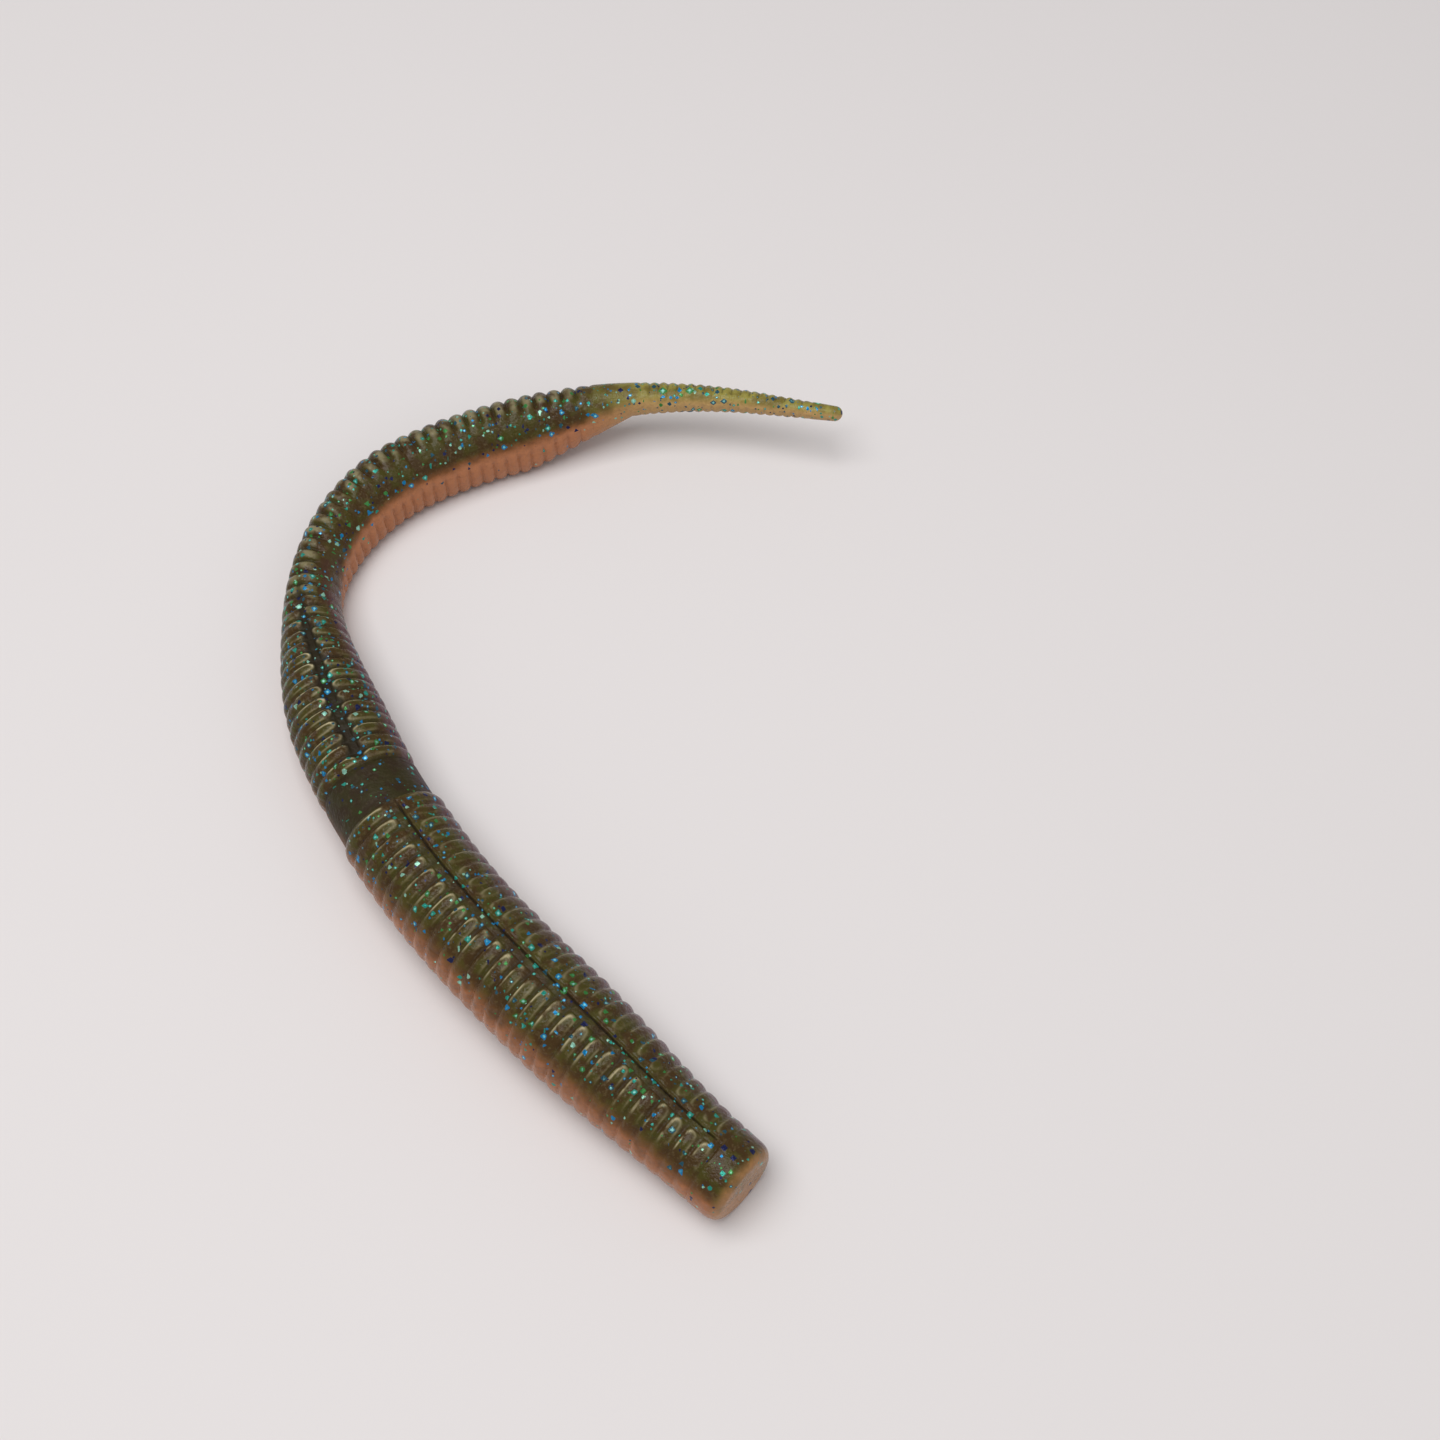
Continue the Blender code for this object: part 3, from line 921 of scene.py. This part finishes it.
class Palette:
    """Makes the materials."""

    def __init__(self) -> None:
        """Builds the shared glitter group."""
        self.glitter = GlitterGroup()

    @staticmethod
    def start(name: str) -> tuple[Material, NodeDesk, Node]:
        """A new material with its desk and its shader."""
        made = bpy.data.materials.new(name)
        made.use_nodes = True
        return made, NodeDesk(made.node_tree), made.node_tree.nodes["Principled BSDF"]

    def plastisol(self, finish: PlastisolFinish) -> Material:
        """Soft plastic in the tones of the two pours, with glitter, painted shade in the grooves, painted
        highlights, a painted purple reflection and a wet gloss.

        Args:
            finish: Colours and gloss.

        Returns:
            The material.
        """
        made, desk, shader = self.start(finish.name)
        place = desk.attribute("rest_place", "Vector")
        names = ("belly", "amber", "groove", "rim", "plum_reflection", "flake")
        belly, amber, hollow, edge, plum_reflection, flake = (desk.attribute(f"{name}_share") for name in names)
        cloud = desk.noise(place, *finish.cloud_noise)
        grain = desk.noise(place, *finish.grain_noise)
        patches = desk.part(cloud, *finish.patch_part)
        olive = desk.mix(patches, finish.brown, finish.olive)
        olive = desk.mix(desk.part(grain, *finish.tan_part), olive, finish.tan)
        # Painted purple reflection low on the right flank.
        olive = desk.mix(desk.times(plum_reflection, finish.plum_reflection_share), olive, finish.plum_reflection)
        olive = desk.mix(amber, olive, desk.mix(patches, finish.honey, finish.amber))
        wobble = desk.times(desk.math("SUBTRACT", cloud, 0.5), finish.wobble)
        wobble = desk.times(wobble, desk.math("PINGPONG", belly, 0.5))
        share = desk.math("ADD", belly, wobble, True)
        middle = desk.mix(amber, finish.mauve, finish.blush)
        deep = desk.mix(amber, finish.terracotta, finish.blush)
        tone = desk.mix(desk.part(share, *finish.middle_part), olive, middle)
        tone = desk.mix(desk.part(share, *finish.deep_part), tone, deep)
        tone = desk.mix(desk.part(grain, *finish.dark_part), tone, finish.groove)
        # Painted shade: grooves, slot and band are darkened, less on the belly.
        strength = desk.math("SUBTRACT", finish.groove_share, desk.times(share, finish.belly_loss))
        fill = desk.times(desk.part(hollow, *finish.groove_shade_part), strength)
        tone = desk.mix(fill, tone, finish.groove)
        # Painted highlight lines in the pale rim colour, broken up by the cloud.
        tone = desk.mix(desk.times(edge, desk.part(cloud, *finish.highlight_part)), tone, finish.rim)
        metal: Any = 0.0
        for bits in finish.flakes:
            amount = desk.times(amber if bits.in_tail else flake, bits.amount)
            foil = desk.add("ShaderNodeGroup", {"node_tree": self.glitter.tree},
                            Place=place, Scale=bits.scale, Size=bits.size, Amount=amount).outputs
            tone = desk.mix(foil["Mask"], tone, foil["Colour"])
            metal = metal if bits.in_tail else desk.math("MAXIMUM", metal, foil["Mask"])
        rough = desk.math("ADD", desk.part(hollow, *finish.dull_part), finish.roughness)
        uneven = desk.math("ADD", desk.times(cloud, finish.bump_cloud), grain)
        bump = desk.add("ShaderNodeBump", None, Strength=1.0, Distance=finish.bump_depth, Height=uneven)
        metal = desk.times(metal, finish.flake_metal)
        desk.fill(shader, Base_Color=tone, Metallic=metal, Roughness=rough, Normal=bump.outputs[0])
        desk.fill(shader, Specular_IOR_Level=finish.specular)
        return made

    def ground(self, finish: FloorFinish) -> Material:
        """Pale ground with a trace of unevenness.

        Args:
            finish: Colour and roughness.

        Returns:
            The material.
        """
        made, desk, shader = self.start("pale_ground")
        where = desk.add("ShaderNodeTexCoord").outputs["Object"]
        cloud = desk.noise(where, *finish.patch_noise)
        darker = tuple(finish.patch_tone * value for value in finish.colour)
        tone = desk.mix(cloud, finish.colour, darker)
        desk.fill(shader, Base_Color=tone, Roughness=finish.roughness, Specular_IOR_Level=finish.specular)
        return made


@dataclass(frozen=True)
class Stretch:
    """One stretch of skin with one hinge in its middle."""

    link: str
    parent: str
    hinge: Vector
    hinge_at: float
    first_row: int
    last_row: int
    stands_for: tuple[str, ...]


class WormBody:
    """Cuts the skin into stretches, makes their meshes, dresses them and hides the links they stand for.
    """

    head_links: tuple[str, ...] = ("head_front", "head_mid", "head_rear")
    body_links: tuple[str, ...] = (
        "mid_rear", "bend_entry", "bend_exit", "rear_front", "rear_mid", "stern", "tail_root",
    )
    tail_links: tuple[str, ...] = ("tail_front", "tail_tip")
    first_hinge: float = 0.0070
    last_head_hinge: float = 0.0165
    behind_band: float = 0.0040
    before_root: float = 0.0020
    behind_cone: float = 0.0020
    before_tip: float = 0.0110
    end_reach: float = 0.0048
    zone_share: float = 0.97
    weld: float = 1e-8

    def __init__(self, form: WormForm, relief: Relief, toning: Toning) -> None:
        """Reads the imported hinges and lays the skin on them.

        Args:
            form: The worm's sizes.
            relief: Ribs and slot.
            toning: Where the pours meet.
        """
        self.form = form
        self.toning = toning
        self.hinge_at = self.hinge_distances()
        self.joints = {joint["child"]: joint for joint in frame["joints"]}
        first = self.head_links[0]
        line = Centreline(form, self.hinge_at[first], Vector(self.joints[first]["pos_m"]))
        self.skin = Skin(form, relief, line)

    def hinge_distances(self) -> dict[str, float]:
        """Distance of the hinge in front of each link."""
        form = self.form
        ends = (
            (self.head_links, self.first_hinge, form.head_l - self.last_head_hinge),
            (self.body_links, form.band_end + self.behind_band, form.root_at - self.before_root),
            (self.tail_links, form.cone_end + self.behind_cone, form.length - self.before_tip),
        )
        return {
            name: float(at)
            for names, start, end in ends
            for name, at in zip(names, np.linspace(start, end, len(names)))
        }

    def stretches(self) -> list[Stretch]:
        """Stretches from nose to tail, cut in the valleys half way between the hinges."""
        links = list(self.hinge_at)
        places = [self.hinge_at[link] for link in links]
        middles = [(a + b) / 2.0 for a, b in zip(places, places[1:])]
        cuts = [0] + [self.skin.row_near(at) for at in middles] + [len(self.skin.at) - 1]
        members = frame["record"]["behaviour"]["bodies"]
        found = []
        for index, link in enumerate(links):
            joint = self.joints[link]
            nodes = tuple(members[link]) + (tuple(members[joint["parent"]]) if index == 0 else ())
            found.append(
                Stretch(link, joint["parent"], Vector(joint["pos_m"]), places[index],
                        cuts[index], cuts[index + 1], nodes)
            )
        return found

    def cut_mesh(self, name: str, stretch: Stretch, half: Half) -> Object:
        """A stretch of skin, started as a flat grid whose points are laid on the surface.

        Args:
            name: Name of the piece.
            stretch: Which rings it takes.
            half: Which pour it takes.

        Returns:
            The finished mesh object at the origin.
        """
        skin = self.skin
        left, right = skin.column_span(half)
        rows = stretch.last_row - stretch.first_row
        columns = right - left
        bpy.ops.mesh.primitive_grid_add(x_subdivisions=columns, y_subdivisions=rows, size=1.0)
        made = bpy.context.object
        mesh = made.data
        made.name = mesh.name = name
        flat = np.empty(len(mesh.vertices) * 3)
        mesh.vertices.foreach_get("co", flat)
        flat = flat.reshape(-1, 3)
        column = left + np.rint((flat[:, 0] + 0.5) * columns).astype(int)
        row = stretch.first_row + np.rint((flat[:, 1] + 0.5) * rows).astype(int)
        mesh.vertices.foreach_set("co", skin.place[row, column].ravel())
        closed = np.where(column == len(skin.angle) - 1, 0, column)
        ring_end = skin.scale[row] == 0.0
        index = row * len(skin.angle) + np.where(ring_end, 0, closed)
        mesh.attributes.new("grid_index", "INT", "POINT").data.foreach_set("value", index.astype(np.int32))
        bpy.ops.object.mode_set(mode="EDIT")
        bpy.ops.mesh.select_all(action="SELECT")
        bpy.ops.mesh.remove_doubles(threshold=self.weld)
        bpy.ops.object.mode_set(mode="OBJECT")
        bpy.ops.object.shade_smooth()
        self.paint(mesh)
        return made

    def paint(self, mesh: Mesh) -> None:
        """Gives each point its rest place, its shares of the tones, of painted shade and of painted
        highlight, and the shared normals.

        Args:
            mesh: A piece whose points carry their grid index.
        """
        skin = self.skin
        index = np.empty(len(mesh.vertices), np.int32)
        mesh.attributes["grid_index"].data.foreach_get("value", index)
        row, column = np.divmod(index, len(skin.angle))
        at, angle = skin.at[row], skin.angle[column]
        values = {
            "belly_share": self.toning.belly(at, angle),
            "amber_share": self.toning.amber(at),
            # groove_share feeds painted shade, rim_share painted highlights, and the purple share a
            # painted reflection.
            "groove_share": skin.depth[row, column],
            "rim_share": skin.rim[row, column],
            "plum_reflection_share": self.toning.plum_reflection(at, angle),
            "flake_share": self.toning.flakes(at, angle),
        }
        for name, value in values.items():
            mesh.attributes.new(name, "FLOAT", "POINT").data.foreach_set("value", value.astype(np.float32))
        rest = mesh.attributes.new("rest_place", "FLOAT_VECTOR", "POINT")
        rest.data.foreach_set("vector", skin.place[row, column].astype(np.float32).ravel())
        mesh.normals_split_custom_set_from_vertices(skin.normal[row, column])
        mesh.attributes.remove(mesh.attributes["grid_index"])

    def tie(self, piece: Object, stretch: Stretch) -> None:
        """Works out how far a piece reaches on either side of its hinge, and bakes its transform into the
        mesh.

        Args:
            piece: The finished piece.
            stretch: Its hinge and rings.
        """
        skin = self.skin
        tailward = skin.line.axes(np.array([stretch.hinge_at]))[2][0]
        hinge = np.array(stretch.hinge)
        front = float(((skin.place[stretch.first_row] - hinge) @ tailward).max())
        behind = float(((skin.place[stretch.last_row] - hinge) @ tailward).min())
        front = max(front, -self.end_reach) * self.zone_share
        behind = min(behind, self.end_reach) * self.zone_share
        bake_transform(piece)

    def build(self, finishes: dict[str, Material]) -> list[Object]:
        """Makes every stretch of skin.

        Args:
            finishes: Materials by slot name.

        Returns:
            The pieces.
        """
        made = []
        for stretch in self.stretches():
            tail = stretch.link in self.tail_links
            halves = (Half.WHOLE,) if tail else (Half.BACK, Half.BELLY)
            for half in halves:
                slot = half.slot
                label = "skin" if tail else f"{half.name.lower()}_skin"
                piece = self.cut_mesh(f"{stretch.link}_{label}", stretch, half)
                piece.data.materials.clear()
                piece.data.materials.append(finishes[slot])
                nodes = [n for n in stretch.stands_for if n.endswith(half.value) or half is Half.WHOLE]
                nodes += [n for n in stretch.stands_for if n == "tail_root" and half is Half.BACK]
                self.tie(piece, stretch)
                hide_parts(*nodes)
                LOG.info("%s: %d faces, for %s", piece.name, len(piece.data.polygons), ", ".join(nodes))
                made.append(piece)
        return made


@dataclass(frozen=True)
class Studio:
    """Pale ground, soft light from above and the camera of the photograph."""

    ground_size: float = 3.0
    ground_drop: float = 0.0001
    camera_place: Triple = (0.01609, -0.09826, 0.17372)
    camera_tilt: float = 31.13
    lens: float = 48.75
    sensor: float = 36.0
    clip_start: float = 0.005
    key_place: Triple = (-0.10, -0.03, 0.50)
    key_size: float = 0.40
    key_power: float = 2.10
    fill_place: Triple = (0.45, -0.35, 0.60)
    fill_size: float = 0.6
    fill_power: float = 0.9
    sky: Triple = (0.95, 0.95, 0.97)
    sky_strength: float = 0.335

    def ground(self, finish: Material) -> None:
        """The floor just under the worm."""
        bpy.ops.mesh.primitive_plane_add(size=self.ground_size, location=(0.0, 0.0, -self.ground_drop))
        floor = bpy.context.object
        floor.name = "ground"
        floor.data.materials.append(finish)

    def light(self, name: str, place: Triple, size: float, power: float) -> None:
        """A square soft box that faces the worm.

        Args:
            name: Name of the light.
            place: Where it hangs.
            size: Edge length.
            power: Watts.
        """
        bpy.ops.object.light_add(type="AREA", location=place)
        lamp = bpy.context.object
        lamp.name = name
        lamp.data.size = size
        lamp.data.energy = power
        lamp.rotation_euler = (-Vector(place)).to_track_quat("-Z", "Y").to_euler()

    def camera(self) -> None:
        """The photograph's camera, for a square image."""
        tilt = math.radians(self.camera_tilt)
        bpy.ops.object.camera_add(location=self.camera_place, rotation=(tilt, 0.0, 0.0))
        camera = bpy.context.object
        camera.name = "photo_camera"
        camera.data.lens = self.lens
        camera.data.sensor_width = self.sensor
        camera.data.clip_start = self.clip_start
        bpy.context.scene.camera = camera

    def build(self, palette: Palette) -> None:
        """Sets up ground, lights, sky and camera."""
        self.ground(palette.ground(FloorFinish()))
        self.light("key_box", self.key_place, self.key_size, self.key_power)
        self.light("fill_box", self.fill_place, self.fill_size, self.fill_power)
        world = bpy.data.worlds.new("studio_sky")
        world.use_nodes = True
        sky = world.node_tree.nodes["Background"]
        sky.inputs["Color"].default_value = rgba(self.sky)
        sky.inputs["Strength"].default_value = self.sky_strength
        bpy.context.scene.world = world
        bpy.context.scene.view_settings.view_transform = "Standard"
        self.camera()


def main() -> None:
    """Builds the skin and the studio."""
    logging.basicConfig(level=logging.INFO, format="%(name)s: %(message)s")
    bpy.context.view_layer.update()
    palette = Palette()
    slots = [half.slot for half in Half]
    finishes = {slot: palette.plastisol(PlastisolFinish(f"{slot}_plastisol")) for slot in slots}
    form = WormForm()
    worm = WormBody(form, Relief(form), Toning())
    pieces = worm.build(finishes)
    Studio().build(palette)
    bpy.context.view_layer.update()
    LOG.info("%d pieces of skin", len(pieces))


if __name__ == "__main__":
    main()
